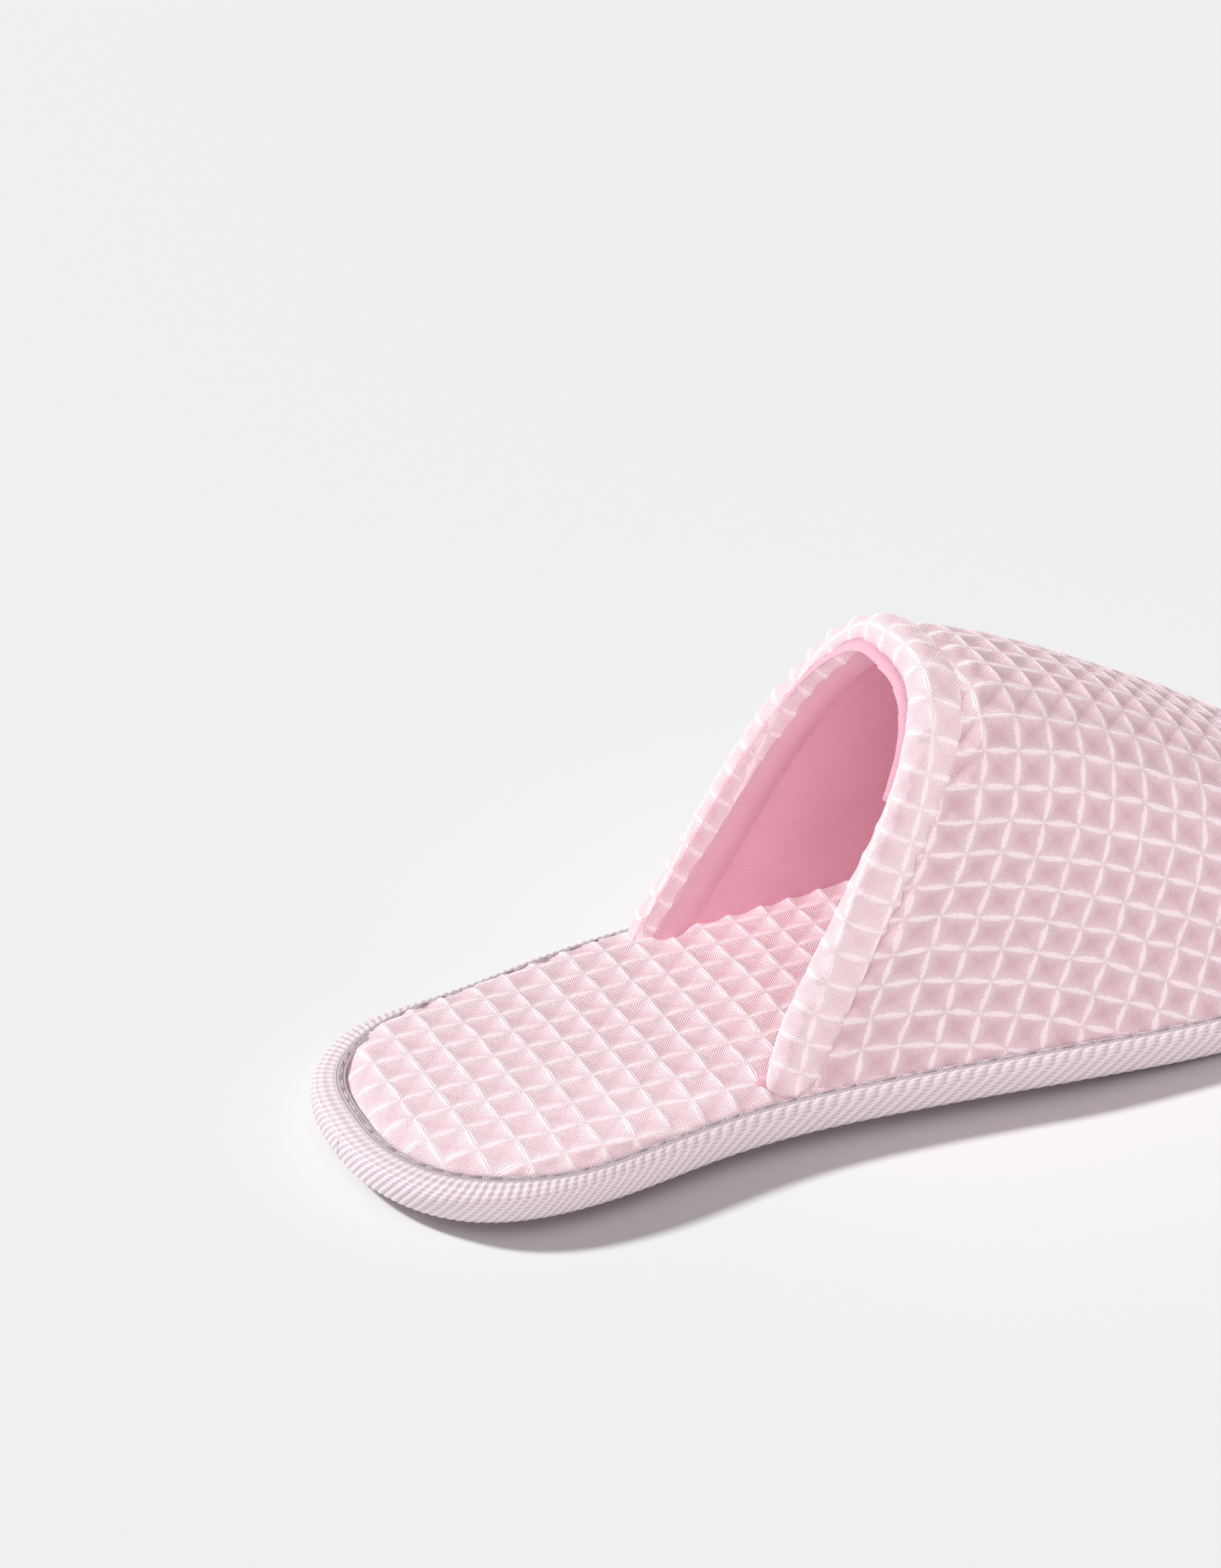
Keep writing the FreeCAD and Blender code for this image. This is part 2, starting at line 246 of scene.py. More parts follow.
@dataclass
class ClothGrid:
    """A grid of points that becomes one sheet of cloth.

    Attributes:
        points: Places in metres, rows by columns by 3.
        u: Distance along the cloth's warp, in mm, rows by columns.
        v: Distance along its weft, in mm, rows by columns.
        closed: Whether the last column lies on the first and is joined to it.
    """

    points: np.ndarray
    u: np.ndarray
    v: np.ndarray
    closed: bool = False

    def normals(self) -> np.ndarray:
        """Unit normals of the sheet, pointing along rows crossed with columns."""
        along = np.gradient(self.points, axis=0)
        across = np.gradient(self.points, axis=1)
        if self.closed:
            across[:, 0] = across[:, -1] = (self.points[:, 1] - self.points[:, -2]) / 2
        if np.allclose(self.points[0], self.points[-1]):
            along[0] = along[-1] = (self.points[1] - self.points[-2]) / 2
        normal = np.cross(along, across)
        return normal / np.maximum(np.linalg.norm(normal, axis=2, keepdims=True), 1e-12)

    def raised(self, height: np.ndarray) -> "ClothGrid":
        """The sheet with every point moved along its normal.

        Args:
            height: Distance in mm, rows by columns.

        Returns:
            A new sheet.
        """
        moved = self.points + self.normals() * (height * MM)[..., None]
        return ClothGrid(moved, self.u, self.v, self.closed)

    def build(self, name: str, keep: Optional[np.ndarray] = None) -> bpy.types.Object:
        """Make the mesh, starting from a flat grid primitive.

        Args:
            name: Object's name.
            keep: True where a point stays; faces without all their points are deleted.

        Returns:
            The cloth object, at the origin, with a UV map in millimetres.
        """
        rows, columns = self.u.shape
        bpy.ops.object.select_all(action="DESELECT")
        bpy.ops.mesh.primitive_grid_add(x_subdivisions=columns - 1, y_subdivisions=rows - 1, size=1)
        piece = bpy.context.object
        piece.name = piece.data.name = name
        mesh = piece.data
        flat = mesh_points(mesh)
        column = np.rint((flat[:, 0] + 0.5) * (columns - 1)).astype(int)
        row = np.rint((0.5 - flat[:, 1]) * (rows - 1)).astype(int)
        mesh.vertices.foreach_set("co", ROCKER.settle(self.points)[row, column].ravel())
        corner = np.zeros(len(mesh.loops), int)
        mesh.loops.foreach_get("vertex_index", corner)
        layer = mesh.uv_layers[0]
        layer.name = "cloth"
        uv = np.stack([self.u[row, column], self.v[row, column]], 1)[corner]
        layer.data.foreach_set("uv", uv.ravel())
        mesh.update()
        if keep is not None:
            self._delete_points(piece, ~keep[row, column])
        if self.closed:
            weld()
        bpy.ops.object.shade_smooth()
        return piece

    @staticmethod
    def _delete_points(piece: bpy.types.Object, drop: np.ndarray) -> None:
        """Delete the marked points and the faces that use them."""
        bpy.ops.object.mode_set(mode="EDIT")
        bpy.ops.mesh.select_mode(type="VERT")
        bpy.ops.mesh.select_all(action="DESELECT")
        bpy.ops.object.mode_set(mode="OBJECT")
        piece.data.vertices.foreach_set("select", drop)
        bpy.ops.object.mode_set(mode="EDIT")
        bpy.ops.mesh.delete(type="VERT")
        bpy.ops.object.mode_set(mode="OBJECT")


@dataclass(frozen=True)
class WaffleWeave:
    """Square pits between raised ridges, with a loose float of threads on each ridge.

    Attributes:
        cell_u: Distance between ridges along the warp, in mm.
        cell_v: Distance between ridges along the weft, in mm.
        depth: Height from the bottom of a pit to its ridges, in mm.
        float_height: Extra height of a float at its middle, in mm.
        float_width: Width of a float at its middle, in mm.
        divisions: Mesh steps in one cell; not used.
    """

    cell_u: float = 7.6
    cell_v: float = 7.6
    depth: float = 1.2
    float_height: float = 0.26
    float_width: float = 1.4
    divisions: int = 10

    def relief(self, u: np.ndarray, v: np.ndarray) -> np.ndarray:
        """Height of the cloth's face above the bottoms of its pits.

        Args:
            u: Distance along the warp, in mm.
            v: Distance along the weft, in mm.

        Returns:
            Heights in mm.
        """
        p = np.hypot(np.abs(u / self.cell_u - np.rint(u / self.cell_u)) * 2, 0.16)
        q = np.hypot(np.abs(v / self.cell_v - np.rint(v / self.cell_v)) * 2, 0.16)
        p, q = np.clip(1.08 - p, 0, 1), np.clip(1.08 - q, 0, 1)
        pit = np.maximum(p, q) ** 1.35
        crossing = 1 - 0.38 * np.minimum(p, q) ** 5
        height = self.depth * pit * crossing
        for across, along, cell in ((p, q, self.cell_u), (q, p, self.cell_v)):
            lens = np.clip(1 - along ** 2, 0, 1)
            away = (1 - across) * cell / 2
            height += self.float_height * np.sqrt(lens) * np.exp(-(away / (self.float_width / 2)) ** 2 * 1.6)
        return height


# ---------------------------------------------------------------- finishes

class Finish:
    """A finish that makes its material once."""

    name: str

    def shader(self, tree: bpy.types.NodeTree) -> bpy.types.Node:
        """Add the finish's nodes and return its surface shader."""
        raise NotImplementedError

    def material(self) -> bpy.types.Material:
        """The finish's material, made on first use."""
        found = bpy.data.materials.get(self.name)
        if found:
            return found
        made = bpy.data.materials.new(self.name)
        made.use_nodes = True
        tree = made.node_tree
        tree.nodes.clear()
        surface = self.shader(tree)
        add_node(tree, "ShaderNodeOutputMaterial", {"Surface": surface.outputs[0]})
        return made

    def dress(self, piece: bpy.types.Object) -> None:
        """Give a piece this finish only."""
        piece.data.materials.clear()
        piece.data.materials.append(self.material())


@dataclass(frozen=True)
class WaffleCotton(Finish):
    """Cotton waffle cloth: matt, with fine plain weave in the pits, painted shade that darkens the pits and a
    painted highlight that makes the floats on the ridges paler.

    Attributes:
        name: Material's name.
        weave: Sizes of the cells that the colour follows.
        pit: Colour at the bottom of a pit, darker as painted shade.
        slope: Colour of the pit's sloping sides.
        floats: Colour of the loose threads on the ridges, paler as a painted highlight.
        thread: Distance between two threads, in mm.
    """

    name: str
    weave: WaffleWeave
    pit: str
    slope: str
    floats: str
    thread: float = 0.62

    def shader(self, tree: bpy.types.NodeTree) -> bpy.types.Node:
        """Add the weave's colour and bump nodes."""
        cloth, places = cloth_places(tree)
        cells = (self.weave.cell_u, self.weave.cell_v)
        near = []
        for axis, cell in enumerate(cells):
            away = calc(tree, "PINGPONG", places[axis], cell / 2)
            near.append(calc(tree, "SUBTRACT", 1.0, calc(tree, "MULTIPLY", away, 2 / cell)))
        fray = noise(tree, cloth, 0.9, 5.0, 0.7)
        masks = []
        for across, along, cell in zip(near, near[::-1], cells):
            lens = calc(tree, "SUBTRACT", 1.0, calc(tree, "POWER", along, 2.0))
            width = calc(tree, "MULTIPLY", lens, self.weave.float_width / cell)
            inside = calc(tree, "SUBTRACT", width, calc(tree, "SUBTRACT", 1.0, across))
            frayed = calc(tree, "MULTIPLY_ADD", fray, 0.3, inside)
            masks.append(spread(tree, frayed, 0.1, 0.27, interpolation_type="SMOOTHSTEP"))
        tone = spread(tree, noise(tree, cloth, 0.16, 4.0), 0.3, 0.7, -0.1, 0.1)
        ridge = calc(tree, "ADD", calc(tree, "MAXIMUM", *near), tone)
        # Painted shade: the colour darkens from the slope colour at the ridges to the pit colour in the
        # middle of each pit, with a random tone added.
        ground = blend(tree, spread(tree, ridge, 0.15, 0.95), self.pit, self.slope)
        # Painted shade and highlight: the colour is scaled down between single threads and up on their tops,
        # together with random slubs from the fray noise.
        slub_and_thread_height = calc(tree, "MULTIPLY_ADD", fray, 0.5, self._threads(tree, places, masks))
        shade = spread(tree, slub_and_thread_height, 0.1, 1.4, 0.82, 1.17)
        thread_shaded_colour = add_node(tree, "ShaderNodeVectorMath", {0: ground, "Scale": shade}, operation="SCALE")
        # Painted highlight: the floats on the ridges take the paler float colour.
        return add_node(tree, "ShaderNodeBsdfPrincipled", {
            "Base Color": blend(tree, calc(tree, "MAXIMUM", *masks), thread_shaded_colour.outputs[0], self.floats),
            "Roughness": 0.92, "Normal": bump(tree, slub_and_thread_height, 0.9, 0.28),
            "Sheen Weight": 0.25, "Sheen Roughness": 0.5, "Specular IOR Level": 0.2,
        })

    def _threads(self, tree: bpy.types.NodeTree, places: Any, masks: list) -> bpy.types.NodeSocket:
        """Height of single threads: crossed in the pits, and side by side along each float."""
        waves = [wave(tree, places[axis], self.thread) for axis in (0, 1)]
        height = spread(tree, calc(tree, "MULTIPLY", *waves), -1.0, 1.0)
        for mask, lines in zip(masks, waves):
            side_by_side = spread(tree, lines, -1.0, 1.0, 0.35, 1.0)
            height = add_node(tree, "ShaderNodeMix", {0: mask, 2: height, 3: side_by_side}).outputs[0]
        return height


@dataclass(frozen=True)
class BrushedKnit(Finish):
    """Brushed polyester knit: fine ribs under a short soft nap that glows at a glancing angle, with painted
    shade in the grooves between the ribs.
    """

    name: str = "brushed_polyester_knit"
    colour: str = "DFAFBD"
    shade: str = "D29CAD"
    rib: float = 1.0

    def shader(self, tree: bpy.types.NodeTree) -> bpy.types.Node:
        """Add the ribs, the nap and the sheen."""
        cloth, places = cloth_places(tree)
        wandering = calc(tree, "MULTIPLY_ADD", noise(tree, cloth, 0.12, 3.0), 2.0, places[1])
        ribs = wave(tree, wandering, self.rib)
        height = calc(tree, "MULTIPLY_ADD", ribs, 0.28, noise(tree, cloth, 2.6, 5.0, 0.7))
        # Painted shade: the darker shade colour follows the rib grooves, mixed with random patches of tone.
        patch_and_rib_shade = calc(tree, "MULTIPLY_ADD", ribs, 0.14, noise(tree, cloth, 0.05, 4.0))
        return add_node(tree, "ShaderNodeBsdfPrincipled", {
            "Base Color": blend(tree, patch_and_rib_shade, self.shade, self.colour),
            "Roughness": 0.95, "Normal": bump(tree, height, 0.35, 0.2),
            "Sheen Weight": 0.5, "Sheen Roughness": 0.35, "Sheen Tint": linear("FFD9E2"),
            "Specular IOR Level": 0.15,
        })


@dataclass(frozen=True)
class TwillTape(Finish):
    """Polyester twill tape: slanting ribs of short yarns with painted shade between them, and a darker
    selvedge of fine rows.

    Attributes:
        name: Material's name.
        body: Colour of the raised yarns.
        groove: Colour between the ribs, darker as painted shade.
        selvedge: Colour of the selvedge's yarns.
        rib: Distance between two ribs along the tape, in mm.
        yarn: Length of one yarn's float, in mm.
        hollow: Colour between the selvedge's yarns, darker as painted shade.
        selvedge_width: Width of the selvedge from the tape's inner edge, in mm.
        bead: Length of one bead in a selvedge row, in mm.
        row: Distance between two selvedge rows, in mm.
    """

    name: str = "polyester_twill_tape"
    body: str = "E0D2D8"
    groove: str = "C4B3BB"
    selvedge: str = "D2C4CA"
    hollow: str = "A5959D"
    rib: float = 2.0
    yarn: float = 0.7
    selvedge_width: float = 1.9
    bead: float = 0.75
    row: float = 0.63

    def shader(self, tree: bpy.types.NodeTree) -> bpy.types.Node:
        """Add the ribs, the single yarns and the selvedge."""
        along, across = cloth_places(tree)[1][:2]
        twill = calc(tree, "MULTIPLY_ADD", wave(tree, across, self.yarn), 0.7, wave(tree, along, self.rib))
        body = spread(tree, twill, -1.5, 1.0)
        beads = calc(tree, "MULTIPLY_ADD", wave(tree, along, self.bead), 0.5,
                     wave(tree, across, self.row, "COSINE"))
        rows = spread(tree, beads, -1.4, 1.4)
        edge = spread(tree, across, self.selvedge_width, self.selvedge_width + 0.15, 1.0, 0.0)
        height = add_node(tree, "ShaderNodeMix", {0: edge, 2: body, 3: rows}).outputs[0]
        # Painted shade: the groove colour fills the low parts of the twill ribs, and the hollow colour the
        # gaps between the selvedge beads.
        colour = blend(tree, edge, blend(tree, body, self.groove, self.body),
                       blend(tree, rows, self.hollow, self.selvedge))
        return add_node(tree, "ShaderNodeBsdfPrincipled", {
            "Base Color": colour, "Roughness": 0.62, "Normal": bump(tree, height, 0.8, 0.25),
            "Sheen Weight": 0.2, "Specular IOR Level": 0.35,
        })


@dataclass(frozen=True)
class SpunThread(Finish):
    """Spun polyester sewing thread, with painted shade in the grooves of its twist, seen as fine slanting
    lines.
    """

    name: str
    colour: str
    hollow: str
    twist: float = 0.5

    def shader(self, tree: bpy.types.NodeTree) -> bpy.types.Node:
        """Add the twist's shade and bump."""
        twist = add_node(tree, "ShaderNodeTexWave", {
            "Vector": object_place(tree), "Scale": 1 / (self.twist * MM) / 20, "Distortion": 1.5,
        }, bands_direction="DIAGONAL").outputs[1]
        # Painted shade: the hollow colour darkens the grooves of the twist.
        return add_node(tree, "ShaderNodeBsdfPrincipled", {
            "Base Color": blend(tree, twist, self.hollow, self.colour),
            "Roughness": 0.6, "Normal": bump(tree, twist, 0.5, 0.05),
        })


@dataclass(frozen=True)
class MouldedFoam(Finish):
    """Moulded EVA foam: a matt skin with a fine pebble and a little scuffing."""

    name: str = "moulded_eva_foam"
    colour: str = "E6D6DB"
    scuffed: str = "D2C1C7"

    def shader(self, tree: bpy.types.NodeTree) -> bpy.types.Node:
        """Add the pebbled skin."""
        place = object_place(tree)
        pebble = add_node(tree, "ShaderNodeTexVoronoi", {"Vector": place, "Scale": 900.0}).outputs[0]
        return add_node(tree, "ShaderNodeBsdfPrincipled", {
            "Base Color": blend(tree, noise(tree, place, 60.0, 6.0), self.colour, self.scuffed),
            "Roughness": 0.75, "Normal": bump(tree, pebble, 0.4, 0.2), "Specular IOR Level": 0.3,
        })


@dataclass(frozen=True)
class StudioPaper(Finish):
    """Matt white paper sweep with a barely visible tooth."""

    name: str = "studio_paper"
    colour: str = "F7F7F8"

    def shader(self, tree: bpy.types.NodeTree) -> bpy.types.Node:
        """Add the paper's tooth."""
        tooth = noise(tree, object_place(tree), 300.0)
        return add_node(tree, "ShaderNodeBsdfPrincipled", {
            "Base Color": linear(self.colour), "Roughness": 0.9, "Normal": bump(tree, tooth, 0.05, 0.1),
        })


UPPER_WEAVE = WaffleWeave(cell_u=7.8, cell_v=7.1)
FOOTBED_WEAVE = WaffleWeave(cell_u=7.67, cell_v=7.6, depth=1.0)
ROLL_WEAVE = WaffleWeave(cell_u=6.6, cell_v=7.3, depth=0.75, float_height=0.28, float_width=1.2)


class Cloths(Enum):
    """The slipper's cloth finishes."""

    # Painted shade: the upper's colours are a darker copy of the same waffle cotton as the footbed and roll,
    # for the upper's sides, which get less light.
    UPPER = WaffleCotton("waffle_cotton_upper_shaded", UPPER_WEAVE, "E2BCC4", "F2D8DC", "F6E5E8")
    FOOTBED = WaffleCotton("waffle_cotton_footbed", FOOTBED_WEAVE, "F7D3DB", "FAE1E6", "FBE7EB")
    ROLL = WaffleCotton("waffle_cotton_roll", ROLL_WEAVE, "F7D6DD", "FBE2E7", "FBE8EC")
    LINING = BrushedKnit()
    TAPE = TwillTape()


# ---------------------------------------------------------------- outline of the sole

class SoleOutline:
    """Outer edge line of the sole, read from the CAD tape."""

    def __init__(self, count: int = 1500) -> None:
        low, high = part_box("edge_binding")
        self.level = (low.z + high.z) / 2
        surface = node_surface("edge_binding")
        spine = (high.x - low.x) / 2 - (high.y - low.y) / 2
        middle = (high.x + low.x) / 2
        hits = []
        for angle in np.linspace(0, math.tau, 720, endpoint=False):
            direction = Vector((math.cos(angle), math.sin(angle), 0))
            for share in ((0.0,) if abs(direction.y) < 0.999 else np.linspace(-1, 1, 121)):
                side = share if share else math.copysign(1, direction.x)
                anchor = Vector((middle + spine * side, 0, self.level))
                hit = surface.ray_cast(anchor + direction * 0.3, -direction)[0]
                if hit is not None:
                    hits.append((hit.x, hit.y))
        centre = np.array([middle, 0.0])
        points = np.array(hits)
        order = np.argsort(np.arctan2(points[:, 1] - centre[1], points[:, 0] - centre[0]))
        points = points[order]
        keep = np.linalg.norm(points - np.roll(points, 1, 0), axis=1) > 1e-5
        self.loop = self._even(points[keep], count)

    @staticmethod
    def _even(points: np.ndarray, count: int) -> np.ndarray:
        """Points of a closed line at an even spacing."""
        closed = np.vstack([points, points[:1]])
        length = run_length(closed)
        return along_line(np.linspace(0, length[-1], count, endpoint=False), length, closed)

    @property
    def length(self) -> float:
        """Length of the edge line, in metres."""
        return float(np.linalg.norm(self.loop - np.roll(self.loop, 1, 0), axis=1).sum())

    def outward(self) -> np.ndarray:
        """Unit vectors that point out of the sole at each point."""
        along = np.roll(self.loop, -3, 0) - np.roll(self.loop, 3, 0)
        along /= np.linalg.norm(along, axis=1, keepdims=True)
        return np.stack([along[:, 1], -along[:, 0]], 1)

    def inset(self, x: np.ndarray, y: np.ndarray) -> np.ndarray:
        """Distance inside the edge line in metres, negative outside it."""
        flat = np.stack([x.ravel(), y.ravel()], 1)
        outward = self.outward()
        result = np.empty(len(flat))
        for start in range(0, len(flat), 4000):
            block = flat[start:start + 4000]
            offset = block[:, None, :] - self.loop[None, ::2, :]
            distance = (offset ** 2).sum(2)
            nearest = distance.argmin(1)
            rows = np.arange(len(block))
            side = (offset[rows, nearest] * outward[::2][nearest]).sum(1)
            result[start:start + 4000] = np.sqrt(distance[rows, nearest]) * -np.sign(side)
        return result.reshape(x.shape)


# ---------------------------------------------------------------- edge tape

@dataclass
class EdgeTape:
    """Twill tape folded round the sole's edge, from the lip on top to the lip underneath.

    Attributes:
        outline: Edge line of the sole.
        lip: Width of the top lip, in mm.
        under: Width of the bottom lip, in mm.
        thickness: Thickness of the tape, in mm.
        top_round: Radius of the top edge, in mm.
        bottom_round: Radius of the bottom edge, in mm.
        bulge: How far the outer face swells at its middle, in mm.
        rib: Distance between two twill ribs, in mm.
        rib_height: Height of a rib, in mm.
        lap_lift: How far the tape's overlapping end stands out, in mm.
        heel_cover: How much further the top lip reaches in at the back of the heel, in mm.
        side_cover: How far the insole swells over the lip on the lateral side, in mm.
    """

    outline: SoleOutline
    lip: float = 4.0
    under: float = 6.0
    thickness: float = 1.1
    top_round: float = 2.4
    bottom_round: float = 1.6
    bulge: float = 0.35
    rib: float = 2.0
    rib_height: float = 0.2
    lap_lift: float = 1.0
    heel_cover: float = 2.7
    side_cover: float = 2.7
    low: float = field(init=False)
    top: float = field(init=False)

    def __post_init__(self) -> None:
        low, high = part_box("edge_binding")
        self.low, self.top = low.z / MM, high.z / MM

    def heel_reach(self, x: np.ndarray) -> np.ndarray:
        """Extra reach of the top lip in mm at a place along the sole in metres."""
        return self.heel_cover * smooth(-x / MM, 96, 126)

    def rim(self, x: np.ndarray, y: np.ndarray) -> np.ndarray:
        """Inset in mm of the line where the insole comes out from the tape."""
        lateral = smooth(y / MM, 5, 25) * smooth(x / MM, -128, -112)
        return self.lip + self.heel_reach(x) - self.side_cover * lateral

    def profile(self) -> tuple[np.ndarray, np.ndarray, np.ndarray]:
        """Cross-section of the folded tape.

        Returns:
            Inset in mm, height in mm, and distance across the tape from the top lip's edge in mm.
        """
        top, low, lip = self.top, self.low, self.lip
        turn = np.linspace(0, math.pi / 2, 9)
        face = [(lip, top - self.thickness + 0.1), (lip, top - 0.2), (lip - 0.2, top)]
        face += [(self.top_round * (1 - math.sin(a)), top - self.top_round * (1 - math.cos(a))) for a in turn]
        face += [(self.bottom_round * (1 - math.cos(a)), low + self.bottom_round * (1 - math.sin(a)))
                 for a in turn]
        face += [(self.under, low)]
        back = [(self.under, low + self.thickness), (self.thickness + 1, low + self.thickness),
                (self.thickness, low + self.thickness + 1), (self.thickness, top - self.thickness - 1),
                (self.thickness + 1, top - self.thickness), (lip, top - self.thickness), face[0]]
        line = np.array(face + back)
        length = run_length(line)
        folded = length[len(face) - 1]
        places = np.concatenate([np.arange(0, folded, 0.34), np.linspace(folded, length[-1], 18)])
        inset, height = along_line(places, length, line).T
        outer = places < folded
        wall = np.clip((height - low) / (top - low), 0, 1)
        inset = inset - outer * self.bulge * np.sin(math.pi * wall) * (1 - smooth(inset, 0, 2.0))
        return inset, height, places - (self.thickness - 0.1)

    def grid(self, lift: float = 0.0) -> ClothGrid:
        """The tape's surface with its ribs, all round the sole.

        Args:
            lift: Extra distance from the sole, in mm.
        """
        inset, height, across = self.profile()
        loop = np.vstack([self.outline.loop, self.outline.loop[:1]])
        outward = np.vstack([self.outline.outward(), self.outline.outward()[:1]])
        steps = np.linalg.norm(np.diff(loop, axis=0), axis=1) / MM
        along = np.concatenate([[0], np.cumsum(steps)])
        near = smooth(-loop[:, 1] / MM, 22, 38) * smooth(loop[:, 0] / MM, -110, -60)
        pitch = self.rib * (0.95 + 0.55 * near)
        turns = np.concatenate([[0], np.cumsum(np.diff(along) / ((pitch[1:] + pitch[:-1]) / 2))])
        turns *= round(turns[-1]) / turns[-1]
        slant = 0.95 + 0.25 * near
        upper = smooth(height, self.top - 4, self.top - 1.5)
        widened = smooth(inset, 0.3, 2.1) * upper
        inset = inset[:, None] + widened[:, None] * self.heel_reach(loop[:, 0])[None]
        underneath = across[np.argmax(height <= self.low + 0.01)]
        face = (across < underneath + self.under - self.bottom_round) & (across > -0.2)
        body = smooth(across, 1.9, 2.2) * face
        edge = (1 - smooth(across, 1.8, 2.1)) * face
        ribs = turns[None, :] * self.rib + (slant / (pitch / self.rib))[None, :] * across[:, None]
        relief = self.rib_height * (0.5 + 0.5 * np.sin(math.tau * ribs / self.rib)) ** 0.7 * body[:, None]
        relief += 0.14 * np.cos(math.tau * across / 0.63)[:, None] * edge[:, None]
        sway = 0.18 * soft_noise(along[None, :], across[:, None] * 0, 34, SEED) * face[:, None]
        distance = sway * (1 - smooth(inset, 1.5, 3.5)) + lift - inset
        points = np.empty((*inset.shape, 3))
        points[..., :2] = loop[None] + outward[None] * (distance * MM)[..., None]
        points[..., 2] = (height * MM)[:, None]
        ribs_grid = ClothGrid(points, ribs, np.repeat(across[:, None], len(loop), 1), True)
        return ribs_grid.raised(relief)

    def build(self) -> bpy.types.Object:
        """Make the tape."""
        piece = self.grid().build("edge_tape")
        Cloths.TAPE.value.dress(piece)
        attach(piece, BODY)
        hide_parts("edge_binding")
        return piece

    def build_lap(self) -> bpy.types.Object:
        """Make the short end of tape that overlaps its start."""
        low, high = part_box("edge_binding_lap")
        whole = self.grid(self.lap_lift)
        x, y = whole.points[0, :, 0], whole.points[0, :, 1]
        inside = np.flatnonzero((x > low.x) & (x < high.x) & (y > 0))
        part = whole.points[:, inside]
        closed = np.concatenate([part[:, :1], part, part[:, -1:]], 1)
        u, v = whole.u[:, inside], whole.v[:, inside]
        u = np.concatenate([u[:, :1], u, u[:, -1:]], 1)
        v = np.concatenate([v[:, :1], v, v[:, -1:]], 1)
        for end in (0, -1):
            inner = part[:, end].mean(0)
            closed[:, end] = inner + (part[:, end] - inner) * 0.8
        piece = ClothGrid(closed, u, v).build("edge_tape_lap")
        Cloths.TAPE.value.dress(piece)
        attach(piece, BODY)
        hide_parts("edge_binding_lap")
        return piece


# ---------------------------------------------------------------- insole

